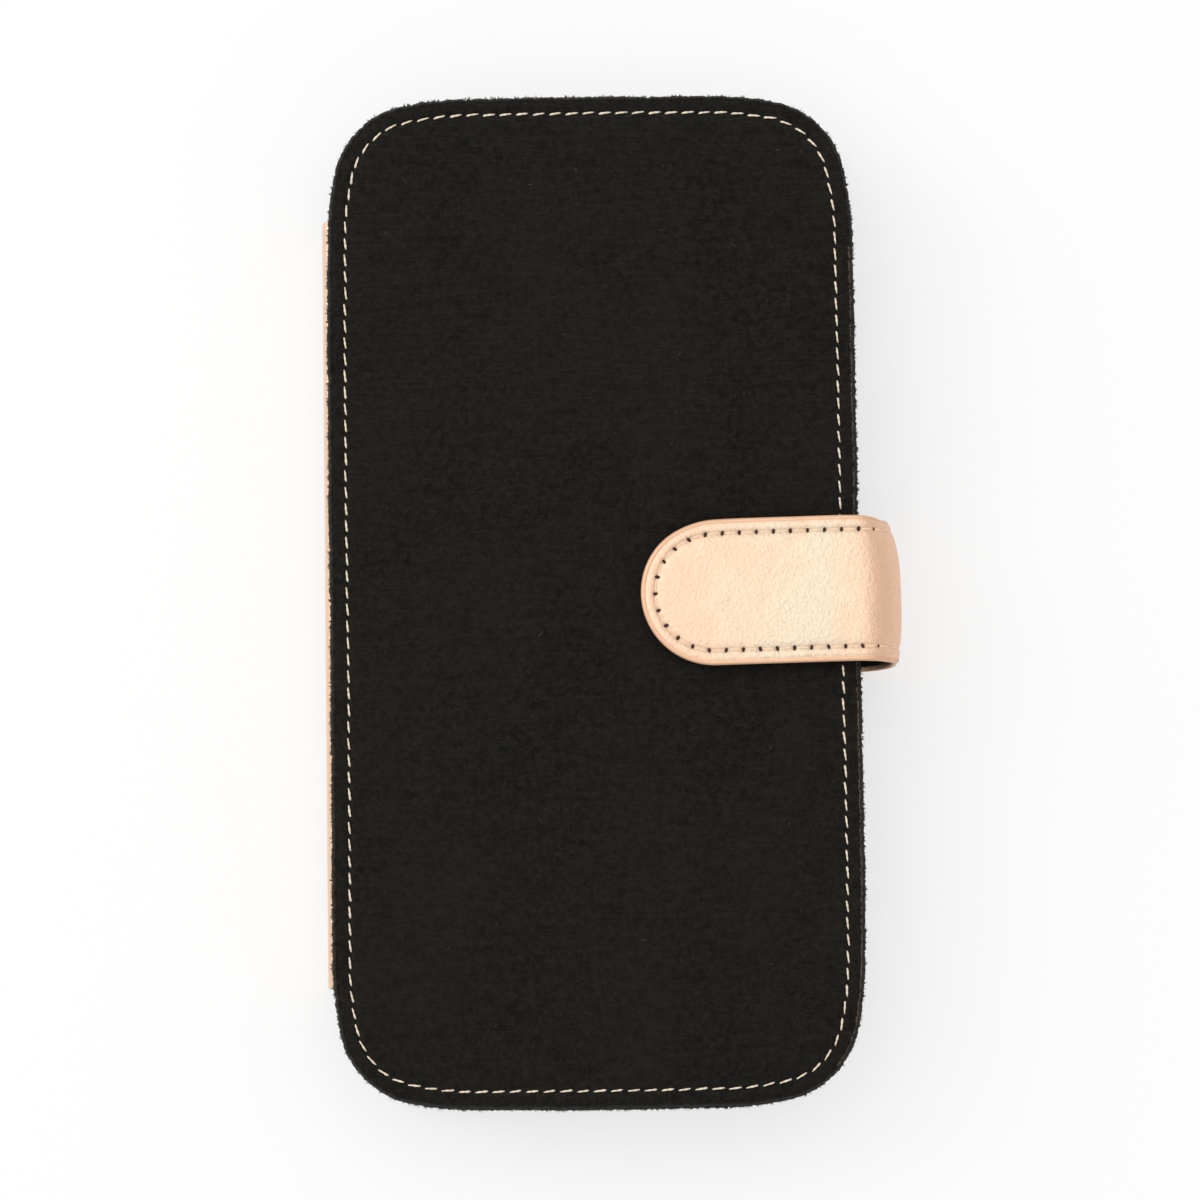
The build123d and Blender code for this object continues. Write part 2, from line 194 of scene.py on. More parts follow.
def velour_material(name, dark, light, sheen=0.3):
    """Short-napped velour: matt, with a soft sheen, brushed patches and mottled nap."""
    made, tree, shader = material(name)
    place = coordinates(tree)
    fibre = noise(tree, place, 2.6, 5.0, 0.75)
    tufts = noise(tree, stretched(tree, place, (1.0, 0.8, 1.0)), 0.9, 5.0, 0.7, 0.8)
    patches = noise(tree, stretched(tree, place, (1.0, 0.55, 1.0)), 0.05, 3.0, 0.5, 0.6)
    creases = noise(tree, stretched(tree, place, (0.3, 1.7, 1.0)), 0.5, 5.0, 0.65, 1.4)
    nap = math_node(tree, "MULTIPLY_ADD", tufts, 0.6, math_node(tree, "MULTIPLY", fibre, 0.4))
    colour = ramp(tree, nap, [(0.4, dark), (0.6, light)])
    brushed = ramp(tree, patches, [(0.35, (0, 0, 0)), (0.7, (0.35,) * 3)])
    colour = mixed(tree, brushed, colour, light)
    tree.links.new(colour, shader.inputs["Base Color"])
    shader.inputs["Roughness"].default_value = 0.92
    shader.inputs["Specular IOR Level"].default_value = 0.08
    shader.inputs["Sheen Weight"].default_value = sheen
    shader.inputs["Sheen Roughness"].default_value = 0.4
    shader.inputs["Sheen Tint"].default_value = (0.46, 0.43, 0.39, 1)
    bumped(tree, shader, [(patches, 0.4), (creases, 0.45), (nap, 0.6)])
    return made


def leather_material(name, pale, deep, pits, roughness, grain=1.0, metallic=0.6):
    """Metallic rose-gold leather with a fine pebbled grain, painted shade in its creases, and a painted
    highlight that makes the tab's flat paler.
    """
    made, tree, shader = material(name)
    place = coordinates(tree, uv=True)
    pebbles = cells(tree, stretched(tree, place, (1.0, 0.9, 1.0)), 1.9)
    wrinkles = noise(tree, stretched(tree, place, (1.15, 0.85, 1.0)), 1.7, 4.0, 0.6, 0.7)
    fine = noise(tree, place, 3.6, 4.0, 0.6)
    clouds = noise(tree, place, 0.1, 3.0, 0.5, 0.8)
    axes = tree.nodes.new("ShaderNodeSeparateXYZ")
    tree.links.new(place, axes.inputs["Vector"])
    along = math_node(tree, "MULTIPLY", axes.outputs["X"], 0.01)
    # Painted highlight: the overhead light's reflection, painted as a paler tone by distance along the
    # flat sheet. It is brightest about 35 mm from the strap's tip on the tab's flat, and gone just past
    # the bend.
    highlight_stops = ((0.0, 0.15), (0.13, 0.5), (0.27, 0.85), (0.35, 1.0), (0.4, 0.6), (0.44, 0.0))
    painted_highlight = ramp(tree, along, [(place_along, (amount,) * 3) for place_along, amount in highlight_stops])
    cloudy = ramp(tree, clouds, [(0.3, (0.45,) * 3), (0.62, (1.0,) * 3)])
    tone = mixed(tree, math_node(tree, "MULTIPLY", painted_highlight, cloudy), deep, pale)
    # Painted shade in the wrinkles' creases: darkens towards the pits colour, which also carries the
    # grain's own reddish tint.
    crease_shade_and_tint = ramp(tree, wrinkles, [(0.25, (0.38,) * 3), (0.45, (0, 0, 0))])
    colour = mixed(tree, crease_shade_and_tint, tone, pits)
    tree.links.new(colour, shader.inputs["Base Color"])
    shader.inputs["Metallic"].default_value = metallic
    rough = math_node(tree, "MULTIPLY_ADD", fine, 0.16, roughness - 0.08)
    tree.links.new(rough, shader.inputs["Roughness"])
    depths = ((clouds, 0.35), (pebbles, -0.09), (wrinkles, 0.1), (fine, 0.05))
    bumped(tree, shader, [(height, depth * grain) for height, depth in depths])
    return made


def woven_material(name, dark, light, threads, roughness=0.75, sheen=0.06, uv=False, rib=1.0):
    """Plain woven cloth or ribbed elastic, with slubs and soft wrinkles."""
    made, tree, shader = material(name)
    place = coordinates(tree, uv)
    across = wave(tree, place, threads * 0.318, "X", 0.5)
    along = wave(tree, place, threads * 0.318 * rib, "Y", 0.5)
    weave = math_node(tree, "MAXIMUM", across, along)
    tuft = noise(tree, place, threads * 1.3, 4.0, 0.6)
    slubs = noise(tree, stretched(tree, place, (1.0, 0.12, 1.0)), 0.8, 4.0, 0.65)
    wrinkles = noise(tree, stretched(tree, place, (1.0, 0.45, 1.0)), 0.06, 3.0, 0.5, 1.2)
    colour = ramp(tree, weave, [(0.15, dark), (0.9, light)])
    colour = mixed(tree, ramp(tree, slubs, [(0.45, (0, 0, 0)), (0.75, (0.6, 0.6, 0.6))]), colour, light)
    tree.links.new(colour, shader.inputs["Base Color"])
    shader.inputs["Roughness"].default_value = roughness
    shader.inputs["Specular IOR Level"].default_value = 0.2
    shader.inputs["Sheen Weight"].default_value = sheen
    bumped(tree, shader, [(wrinkles, 1.2), (weave, 0.12), (slubs, 0.08), (tuft, 0.04)])
    return made


def thread_material(name, dark, light):
    """Twisted sewing thread."""
    made, tree, shader = material(name)
    place = coordinates(tree)
    strand = noise(tree, place, 5.0, 4.0, 0.6)
    tree.links.new(ramp(tree, strand, [(0.3, dark), (0.7, light)]), shader.inputs["Base Color"])
    shader.inputs["Roughness"].default_value = 0.55
    shader.inputs["Sheen Weight"].default_value = 0.2
    bumped(tree, shader, [(strand, 0.05)])
    return made


def metal_material(name, dark, light, roughness):
    """Plated or plain metal with fine rubbing."""
    made, tree, shader = material(name)
    place = coordinates(tree)
    rub = noise(tree, stretched(tree, place, (4.0, 0.5, 1.0)), 1.1, 5.0, 0.6)
    spots = noise(tree, place, 0.4, 3.0, 0.5)
    tree.links.new(ramp(tree, spots, [(0.3, dark), (0.75, light)]), shader.inputs["Base Color"])
    shader.inputs["Metallic"].default_value = 1.0
    rough = math_node(tree, "MULTIPLY_ADD", rub, 0.2, roughness)
    tree.links.new(rough, shader.inputs["Roughness"])
    bumped(tree, shader, [(rub, 0.004)])
    return made


def board_material(name, dark, light, roughness=0.9):
    """Board, foam or plastic with a mottled surface."""
    made, tree, shader = material(name)
    place = coordinates(tree)
    mottle = noise(tree, place, 1.2, 6.0, 0.7)
    tree.links.new(ramp(tree, mottle, [(0.3, dark), (0.7, light)]), shader.inputs["Base Color"])
    shader.inputs["Roughness"].default_value = roughness
    bumped(tree, shader, [(mottle, 0.06)])
    return made


velour = velour_material("velour", (0.0032, 0.003, 0.0024), (0.0168, 0.0158, 0.013))
# Painted highlight: a lighter velour for the light caught along the fold line beside the covers' edge on
# their right side.
fold_highlight = velour_material("velour_fold_highlight", (0.03, 0.022, 0.018), (0.13, 0.098, 0.078), 0.5)
fuzz = velour_material("velour_fuzz", (0.010, 0.008, 0.006), (0.026, 0.021, 0.017))
lint = board_material("lint", (0.1, 0.095, 0.09), (0.24, 0.23, 0.22))
# The leather's pale colour is the painted highlight. Its third colour is painted shade in its creases,
# partly the grain's own reddish tint.
leather = leather_material(
    "rose_gold_leather", (0.795, 0.685, 0.515), (0.88, 0.57, 0.395), (0.56, 0.33, 0.2), 0.42)
leather_edge = leather_material(
    "leather_edge", (0.86, 0.54, 0.35), (0.79, 0.47, 0.295), (0.55, 0.3, 0.18), 0.42, 0.4, 0.3)
# Painted shade: a dark colour for the shadow inside the strap's needle slits.
slit_shade = board_material("needle_slit_shade", (0.03, 0.011, 0.005), (0.075, 0.03, 0.015))
cream_thread = thread_material("cream_thread", (0.62, 0.42, 0.25), (1.0, 0.93, 0.78))
gold_thread = thread_material("gold_thread", (0.8, 0.52, 0.33), (0.98, 0.76, 0.54))
black_thread = thread_material("black_thread", (0.01, 0.01, 0.01), (0.035, 0.034, 0.032))
lining_cloth = woven_material("lining_cloth", (0.0045,) * 3, (0.0165, 0.016, 0.0155), 1.7)
elastic = woven_material(
    "elastic", (0.003, 0.003, 0.0033), (0.021, 0.021, 0.022), 1.3, 0.65, 0.08, uv=True, rib=0.35)
pocket_cloth = woven_material("pocket_cloth", (0.004, 0.004, 0.0044), (0.0155, 0.0155, 0.0165), 2.0, 0.6)
strap_lining_cloth = velour_material(
    "strap_lining_cloth", (0.003, 0.0028, 0.0024), (0.015, 0.0138, 0.012), 0.2)
nickel = metal_material("nickel", (0.62, 0.6, 0.57), (0.78, 0.77, 0.75), 0.16)
steel = metal_material("steel", (0.45, 0.44, 0.43), (0.6, 0.6, 0.6), 0.28)
magnet = metal_material("magnet", (0.06, 0.06, 0.065), (0.12, 0.12, 0.125), 0.45)
greyboard = board_material("greyboard", (0.2, 0.185, 0.165), (0.33, 0.31, 0.28))
stiffener = board_material("stiffener", (0.6, 0.6, 0.58), (0.72, 0.72, 0.7), 0.5)


# Meshes

WELD_REACH = 0.002


def add_piece(name, points, faces, surface, uv=None, smooth=True):
    """A mesh object from points in millimetres. uv holds one pair per point, in millimetres."""
    mesh = bpy.data.meshes.new(name)
    places = (np.asarray(points, float) * 0.001).tolist()
    mesh.from_pydata(places, [], [tuple(map(int, f)) for f in faces])
    mesh.materials.append(surface)
    if uv is not None:
        layer = mesh.uv_layers.new(name="flat")
        corner = np.zeros(len(mesh.loops), np.int32)
        mesh.loops.foreach_get("vertex_index", corner)
        layer.data.foreach_set("uv", (np.asarray(uv, float)[corner] * 0.01).ravel())
    mesh.polygons.foreach_set("use_smooth", [smooth] * len(mesh.polygons))
    mesh.update()
    made = bpy.data.objects.new(name, mesh)
    bpy.context.scene.collection.objects.link(made)
    return made


def also(made, surface, faces):
    """Gives these faces of a piece a second surface."""
    made.data.materials.append(surface)
    for index in faces:
        made.data.polygons[index].material_index = 1
    return made


def flat_ends(made, count):
    """Shades a piece's last faces, its cut ends, flat, so that they don't bend the light beside them."""
    for face in list(made.data.polygons)[-count:]:
        face.use_smooth = False
    return made


def weld(made):
    """Joins points that lie on each other."""
    shape = bmesh.new()
    shape.from_mesh(made.data)
    bmesh.ops.remove_doubles(shape, verts=shape.verts, dist=WELD_REACH * 0.001)
    shape.to_mesh(made.data)
    shape.free()
    made.data.update()
    return made


def grid(rows, columns, closed=False, flip=False):
    """Quads between rows of points. Closed rows join their last point to their first."""
    faces = []
    for i in range(rows - 1):
        for j in range(columns if closed else columns - 1):
            a, b = i * columns + j, i * columns + (j + 1) % columns
            c, d = b + columns, a + columns
            faces.append((a, d, c, b) if flip else (a, b, c, d))
    return faces


def run_along(line):
    """The distance from a flat line's start to each of its points."""
    return np.concatenate([[0], np.cumsum(np.hypot(*np.diff(line, axis=0).T))])


def end_caps(count, ring, flip=False):
    """The two end faces of a tube of this many points, in rings."""
    first, last = tuple(range(ring)), tuple(range(count - 1, count - 1 - ring, -1))
    return [first[::-1], last[::-1]] if flip else [first, last]


# Panel outline


def panel_outline():
    """Places and outward directions round a panel, evenly spaced along the stitch line."""
    step, bow_step = SIDE_RADIUS - CORNER_RADIUS, BOW_RADIUS - SIDE_RADIUS
    spread = cos(CORNER_TURN) - sin(CORNER_TURN)
    bow = asin((HALF_WIDTH - SIDE_RADIUS + step * spread) / bow_step)
    side_y = HALF_LENGTH - BOW_RADIUS + bow_step * cos(bow) + step * spread
    side = np.array((HALF_WIDTH - SIDE_RADIUS, side_y))
    middle = side + step * np.array((cos(CORNER_TURN), sin(CORNER_TURN)))
    end = middle - step * np.array((sin(CORNER_TURN), cos(CORNER_TURN)))
    arcs = [
        (side, SIDE_RADIUS, 0, CORNER_TURN),
        (middle, CORNER_RADIUS, CORNER_TURN, pi / 2 - CORNER_TURN),
        (end, SIDE_RADIUS, pi / 2 - CORNER_TURN, pi / 2 - bow),
        (np.array((0, HALF_LENGTH - BOW_RADIUS)), BOW_RADIUS, pi / 2 - bow, pi / 2),
    ]
    places = [(HALF_WIDTH, y) for y in np.linspace(0, side_y, 400)]
    outward = [(1.0, 0.0)] * len(places)
    for centre, radius, start, stop in arcs:
        for angle in np.linspace(start, stop, 240)[1:]:
            direction = np.array((cos(angle), sin(angle)))
            places.append(tuple(centre + radius * direction))
            outward.append(tuple(direction))
    places, outward = np.array(places), np.array(outward)
    turned = np.array((-1, 1))
    places = np.vstack([places, places[-2::-1] * turned])
    outward = np.vstack([outward, outward[-2::-1] * turned])
    places = np.vstack([places, -places[1:]])
    outward = np.vstack([outward, -outward[1:]])
    inner = places - COVER_STITCH_INSET * outward
    run = run_along(inner)
    steps = 2 * round(run[-1] / COVER_STITCH_PITCH / 2) * STEPS_PER_STITCH
    at = np.arange(steps) * run[-1] / steps
    places = np.stack([np.interp(at, run, places[:, k]) for k in (0, 1)], 1)
    outward = np.stack([np.interp(at, run, outward[:, k]) for k in (0, 1)], 1)
    return places, outward / np.linalg.norm(outward, axis=1)[:, None], at


edge_place, edge_out, edge_run = panel_outline()
edge_count = len(edge_place)
edge_waver = 0.04 * np.sin(edge_run / 5.9 + 1.0) + 0.03 * np.sin(edge_run / 2.3)
edge_waver += 0.05 * np.sin(edge_run / 17.0)


def panel_height(depth, front):
    """The height in the case of a depth below a panel's outside."""
    return DEPTH - depth if front else depth


def settled(points):
    """The front cover's soft outline: a little narrower at the far end, and fuller near the strap."""
    x, y = points[:, 0], points[:, 1]
    far = np.clip((y - 30) / 55, 0, 1)
    far = far * far * (3 - 2 * far)
    x += -0.0078 * far * x + 0.32 * np.exp(-(((y + 50) / 26) ** 2)) * np.clip(x / 50, 0, 1)
    x += 0.2 * np.exp(-(((y + 25) / 40) ** 2)) * np.clip(-x / 50, 0, 1)
    y -= 0.2 * far
    return points


def panel_rings(rows, front, waver=0.0, dimple=0.0, crown=0.0):
    """Rings of points round a panel, for rows of (inset, depth), closed over the middle."""
    hole_pull = np.zeros(edge_count)
    hole_pull[0::STEPS_PER_STITCH] = 1.0
    hole_pull[1::STEPS_PER_STITCH] = 0.4
    hole_pull[STEPS_PER_STITCH - 1::STEPS_PER_STITCH] = 0.4
    points = []
    for inset, depth in rows:
        shift = waver * edge_waver * max(0.0, 1 - inset / 2.0)
        flat = edge_place - (inset + shift)[:, None] * edge_out
        near = exp(-(((inset - COVER_STITCH_INSET) / 0.45) ** 2))
        sunk = depth + dimple * near * hole_pull
        points.append(np.column_stack([flat, panel_height(sunk, front)]))
    rim, last = points[-1], rows[-1][1]
    centre = np.column_stack([np.zeros(edge_count), np.clip(rim[:, 1], -46, 46)])
    for share in CLOSING_SHARES:
        flat = rim[:, :2] * (1 - share) + centre * share
        depth = np.full(edge_count, last - crown * share)
        points.append(np.column_stack([flat, panel_height(depth, front)]))
    return np.vstack(points), len(points)


# Covers

# The velour's section, as (inset from the edge, depth below the outside): the turned-in margin, the
# round edge, the fold beside it, the stitched groove and the padded middle.
SKIN_ROWS = [
    (9.0, 3.62), (5.0, 3.6), (2.6, 3.6), (1.3, 3.58), (0.7, 3.5), (0.32, 3.3), (0.1, 2.98), (0.0, 2.55),
    (-0.06, 2.1), (-0.06, 1.65), (0.0, 1.25), (0.1, 0.9), (0.24, 0.58), (0.4, 0.32), (0.56, 0.14),
    (0.68, 0.08), (0.84, 0.13), (1.05, 0.1), (1.4, 0.03), (1.9, 0.0), (2.4, 0.04), (2.8, 0.14),
    (3.1, 0.24), (3.3, 0.28), (3.5, 0.24), (3.8, 0.14), (4.2, 0.03), (4.8, -0.05), (5.8, -0.1),
    (7.4, -0.14), (9.4, -0.17), (12.0, -0.18),
]


def cover_skin(name, front, nodes):
    """The padded velour over one panel, rolled round its edge."""
    rows = SKIN_ROWS if front else [(inset, max(depth, 0.0)) for inset, depth in SKIN_ROWS]
    points, count = panel_rings(rows, front, 1.0, 0.22, 0.06 if front else 0.0)
    if front:
        near = np.exp(-((np.hypot(points[:, 0] - SNAP_X, points[:, 1] - SNAP_Y) / 9.0) ** 6))
        top = points[:, 2] > DEPTH - 0.2
        points[:, 2] -= np.where(top, near * np.maximum(points[:, 2] - DEPTH + 0.05, 0), 0)
    ragged = 0.03 * noise_source.standard_normal((count, edge_count, 1))
    ragged += 0.075 * noise_source.standard_normal((1, edge_count, 1))
    near_edge = np.zeros((count, 1, 1))
    for i, (inset, depth) in enumerate(rows):
        near_edge[i] = -0.1 < inset < 0.9 and depth < 3.0
    push = np.dstack([np.tile(edge_out, (count, 1, 1)), np.zeros((count, edge_count, 1))])
    points = points + (ragged * near_edge * push).reshape(-1, 3)
    points = settled(points) if front else points
    made = add_piece(name, points, grid(count, edge_count, True, flip=not front), velour)
    # Painted highlight: faces of the fold beside the edge take the lighter velour, on the right side
    # only, four in five at random.
    fold = [i for i, (inset, depth) in enumerate(rows) if 0.5 < inset < 0.8 and depth < 0.3]
    right = [j for j in range(edge_count) if edge_out[j][0] > 0.75 and edge_place[j][1] < 66]
    also(made, fold_highlight, [i * edge_count + j for i in fold for j in right if noise_source.random() < 0.8])
    weld(made)
    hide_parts(*nodes)
    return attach(made, "front_cover" if front else "back_cover")


def fibres(name, front, count):
    """Short nap that stands out round a panel's edge, in tufts of uneven length."""
    spike = ((1, 0, 3), (2, 1, 3), (0, 2, 3), (0, 1, 2))
    points, faces = [], []
    tuft = np.clip(0.65 + 0.75 * noise_source.standard_normal(edge_count), 0.05, 1.5)
    rows = [(inset, depth) for inset, depth in SKIN_ROWS if inset < 0.11 and 0.8 < depth < 3.0]
    for _ in range(count):
        j = random.randrange(edge_count)
        inset, depth = random.choice(rows)
        inset += edge_waver[j] * max(0.0, 1 - inset / 2.0)
        share = random.random()
        k = (j + 1) % edge_count
        flat = (edge_place[j] * (1 - share) + edge_place[k] * share) - inset * edge_out[j]
        base = np.array((*flat, panel_height(depth, front)))
        base = settled(base[None])[0] if front else base
        lean = random.uniform(-0.45, 0.45)
        out = np.array((*edge_out[j], 0.0))
        along = np.array((-edge_out[j][1], edge_out[j][0], 0.0))
        rise = (0.5 - depth / 3.4) * (1.0 if front else -1.0)
        direction = out + lean * along + np.array((0, 0, rise + random.uniform(-0.4, 0.4)))
        direction /= np.linalg.norm(direction)
        length, width = (0.2 + 0.3 * random.random()) * tuft[j], random.uniform(0.06, 0.1)
        side = np.cross(direction, (0.3, 0.2, 1.0))
        side /= np.linalg.norm(side)
        up = np.cross(side, direction)
        base = base - 0.05 * direction
        start = len(points)
        for turn in range(3):
            angle = turn * 2 * pi / 3
            points.append(base + width * (cos(angle) * side + sin(angle) * up))
        points.append(base + length * direction)
        faces += [tuple(start + v for v in f) for f in spike]
    made = add_piece(name, points, faces, fuzz, smooth=False)
    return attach(made, "front_cover" if front else "back_cover")


def stitches(name, centres, along, up, length, width, height, lean, rise, surface,
             wander=0.06, taper=0.0):
    """Short twisted lengths of thread that dip in at both ends. Lean is their sideways run."""
    stations, sides = 11, 10
    tube = grid(stations, sides, True) + end_caps(stations * sides, sides, flip=True)
    points, faces = [], []
    for centre, way, lift in zip(centres, along, up):
        way, lift = np.array(way, float), np.array(lift, float)
        across = np.cross(lift, way)
        half = length / 2 * random.uniform(1 - wander, 1 + wander * 0.6)
        fat, bent = random.uniform(0.9, 1.1), lean * random.uniform(0.75, 1.25)
        twist, drift = random.uniform(0, 2 * pi), random.gauss(0, wander * 0.6)
        start = len(points)
        for i in range(stations):
            t = -1 + 2 * i / (stations - 1)
            body = (0.16 + 0.84 * (1 - abs(t) ** 4) ** 0.5) * (1 + taper * t)
            side = bent * (0.6 * t + 0.4 * t * abs(t)) + drift
            dip = rise * (1 - t * t) - 0.34 * abs(t) ** 5
            middle = centre + way * half * t + across * side + lift * dip
            for k in range(sides):
                turn = 2 * pi * k / sides
                ply = 1 + 0.23 * cos(2 * turn + 7.5 * t + twist)
                reach = width / 2 * cos(turn) * across + height / 2 * sin(turn) * lift
                points.append(middle + body * fat * ply * reach)
        faces += [tuple(start + v for v in f) for f in tube]
    return add_piece(name, points, faces, surface)


def cover_stitches(name, front, depth, outside):
    """The ring of stitches round a panel, seen from its outside or from its lining."""
    middle = np.arange(STEPS_PER_STITCH // 2, edge_count, STEPS_PER_STITCH)
    flat = edge_place[middle] - COVER_STITCH_INSET * edge_out[middle]
    centres = np.column_stack([flat, np.full(len(middle), panel_height(depth, front))])
    centres = settled(centres) if front and outside else centres
    along = np.column_stack([-edge_out[middle][:, 1], edge_out[middle][:, 0], np.zeros(len(middle))])
    facing = 1.0 if front == outside else -1.0
    up = np.tile((0, 0, facing), (len(middle), 1))
    made = stitches(name, centres, along, up, 2.5, 0.35, 0.3, 0.17 * facing, 0.13,
                    cream_thread, taper=0.22)
    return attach(made, "front_cover" if front else "back_cover")


def lining_sheet(name, front, node):
    """The lining inside one panel, sewn down round its edge."""
    rows = [(1.45, 3.6), (1.36, 3.72), (1.38, 3.9), (1.52, 4.05), (1.8, 4.12), (2.3, 4.12), (2.8, 4.04),
            (3.3, 3.98), (3.8, 4.04), (4.4, 4.1), (6.0, 4.11), (9.0, 4.1), (12.0, 4.1)]
    points, count = panel_rings(rows, front, 0.6, -0.1)
    faces = grid(count, edge_count, True, flip=front)
    made = weld(add_piece(name, points, faces, lining_cloth))
    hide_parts(node)
    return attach(made, "front_cover" if front else "back_cover")


cover_skin("front_cover_velour", True, ["front_velour", "front_padding"])
cover_skin("back_cover_velour", False, ["back_velour", "back_padding"])
fibres("front_cover_nap", True, 9000)
fibres("back_cover_nap", False, 6000)
cover_stitches("front_cover_stitches", True, 0.12, True)
cover_stitches("back_cover_stitches", False, 0.2, True)
cover_stitches("front_lining_stitches", True, 4.06, False)
cover_stitches("back_lining_stitches", False, 4.06, False)
lining_sheet("front_lining_cloth", True, "front_lining")
lining_sheet("back_lining_cloth", False, "back_lining")


def lint_specks():
    """A few pale hairs of lint on the front."""
    points, faces = [], []
    for _ in range(26):
        x, y = random.uniform(-42, 42), random.uniform(-86, 86)
        if x > 4 and -16 < y < 20:
            continue
        angle, length = random.uniform(0, 2 * pi), random.uniform(0.3, 1.1)
        bend = random.uniform(-0.8, 0.8)
        start = len(points)
        for i in range(5):
            t = i / 4
            turn = angle + bend * t
            lift = DEPTH + 0.24 + 0.05 * sin(pi * t)
            centre = np.array((x + length * t * cos(turn), y + length * t * sin(turn), lift))
            side = np.array((-sin(turn), cos(turn), 0))
            for k in range(3):
                a = 2 * pi * k / 3
                points.append(centre + 0.028 * (cos(a) * side + sin(a) * np.array((0, 0, 1))))
        faces += [tuple(start + v for v in f) for f in grid(5, 3, True)]
    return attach(add_piece("front_cover_lint", points, faces, lint), "front_cover")


lint_specks()


# Strap


def strap_place(s, u, h):
    """A point of the strap: s along it from the tip, u across it, h out from its outside."""
    s, u, h = (np.asarray(a, float) for a in np.broadcast_arrays(s, u, h))
    first, second = TAB_LENGTH, TAB_LENGTH + ARC_LENGTH
    third, fourth = second + SIDE_LENGTH, second + SIDE_LENGTH + ARC_LENGTH
    turn = np.clip((s - first) / BEND_RADIUS, 0, pi / 2)
    lower = np.clip((s - third) / BEND_RADIUS, 0, pi / 2)
    bulge = np.clip((s - first + 0.5) / 9.0, 0, 1) * np.clip((fourth - s) / 9.0, 0, 1)
    bulge = bulge * bulge * (3 - 2 * bulge)
    h = h - bulge * np.where(u > 0, 2.1, 0.8) * np.abs(u / STRAP_HALF) ** 2.5
    radius = BEND_RADIUS + h
    x = np.where(s < first, TIP_X + s, np.where(s < second, BEND_X + radius * np.sin(turn),
        np.where(s < third, SIDE_X + h, BEND_X + radius * np.cos(lower) - np.clip(s - fourth, 0, None))))
    z = np.where(s < first, TAB_TOP + h, np.where(s < second, UPPER_Z + radius * np.cos(turn),
        np.where(s < third, UPPER_Z - (s - second), LOWER_Z - radius * np.sin(lower))))
    turned = np.clip((fourth + 0.7 - s) / ARC_LENGTH, 0, 1) * STRAP_TURN
    side = u / STRAP_HALF
    bend = np.exp(-(((s - first - 8.5) / 6.0) ** 2))
    cut = 0.35 * np.exp(-(((s - 8) / 5.5) ** 2)) * side ** 2 + 1.1 * bend * np.abs(side) ** 8
    curl = np.where(u > 0, cut, 0.35 * bend * side ** 2)
    return np.stack([x - turned * u, STRAP_Y + u - curl + turned * (x - STRAP_TURN_X), z], -1)


def strap_up(s, u):
    """The strap's outward direction at a place."""
    step = strap_place(s, u, 0.05) - strap_place(s, u, 0.0)
    return step / np.linalg.norm(step, axis=-1)[..., None]


def tab_line():
    """Even steps along the tab's stitches, as (place along the side, turn round the tip)."""
    inner = STRAP_HALF - STRAP_STITCH_INSET
    side, tip = SPLIT_S - STRAP_HALF, pi * inner
    count = SAMPLES_PER_HOLE * round((2 * side + tip) / STRAP_STITCH_PITCH)
    run = np.linspace(0, 2 * side + tip, count + 1)
    straight = np.where(run < side, side - run, np.clip(run - side - tip, 0, None))
    turn = np.clip((run - side) / inner, 0, pi) - pi / 2
    return straight, turn


tab_straight, tab_turn = tab_line()
hole_index = np.arange(SAMPLES_PER_HOLE // 2, len(tab_straight), SAMPLES_PER_HOLE)
hole_index = hole_index[STRAP_HALF + tab_straight[hole_index] < TAB_LENGTH + ARC_LENGTH * 0.95]


def tab_curve(inset):
    """The line round the tab at an inset from its edge."""
    reach = max(STRAP_HALF - inset, 0.0)
    return STRAP_HALF + tab_straight - reach * np.cos(tab_turn), reach * np.sin(tab_turn)


# Sections of the strap's layers, as (inset from the edge, height from the strap's outside). The leather
# has a rolled rim, a crease inside it and the groove that its stitches lie in.
LEATHER_ROWS = [
    (13.75, -1.2), (9.0, -1.2), (4.0, -1.2), (1.4, -1.2), (0.6, -1.17), (0.22, -1.05), (0.05, -0.82),
    (0.0, -0.55), (0.06, -0.3), (0.2, -0.12), (0.4, -0.02), (0.6, 0.0), (0.78, -0.05), (0.9, -0.12),
    (1.02, -0.07), (1.3, 0.0), (1.7, 0.02), (2.1, -0.03), (2.4, -0.14), (2.6, -0.24), (2.75, -0.28),
    (2.9, -0.24), (3.15, -0.12), (3.6, -0.01), (4.4, 0.05), (5.6, 0.08), (7.2, 0.1), (9.0, 0.11),
    (11.0, 0.11), (13.75, 0.11),
]
LINING_ROWS = [
    (13.75, -2.3), (9.0, -2.3), (4.0, -2.3), (2.0, -2.29), (1.2, -2.2), (0.9, -2.0), (0.82, -1.7),
    (0.85, -1.35), (1.0, -1.21), (3.0, -1.2), (13.75, -1.2),
]


def rim_rows(rows):
    """The steps of a strap layer's section that lie on its rolled rim."""
    return [i for i, ((inset, h), (further, _)) in enumerate(zip(rows, rows[1:]))
            if inset < 1.2 and further <= 0.9 and h > -1.19]


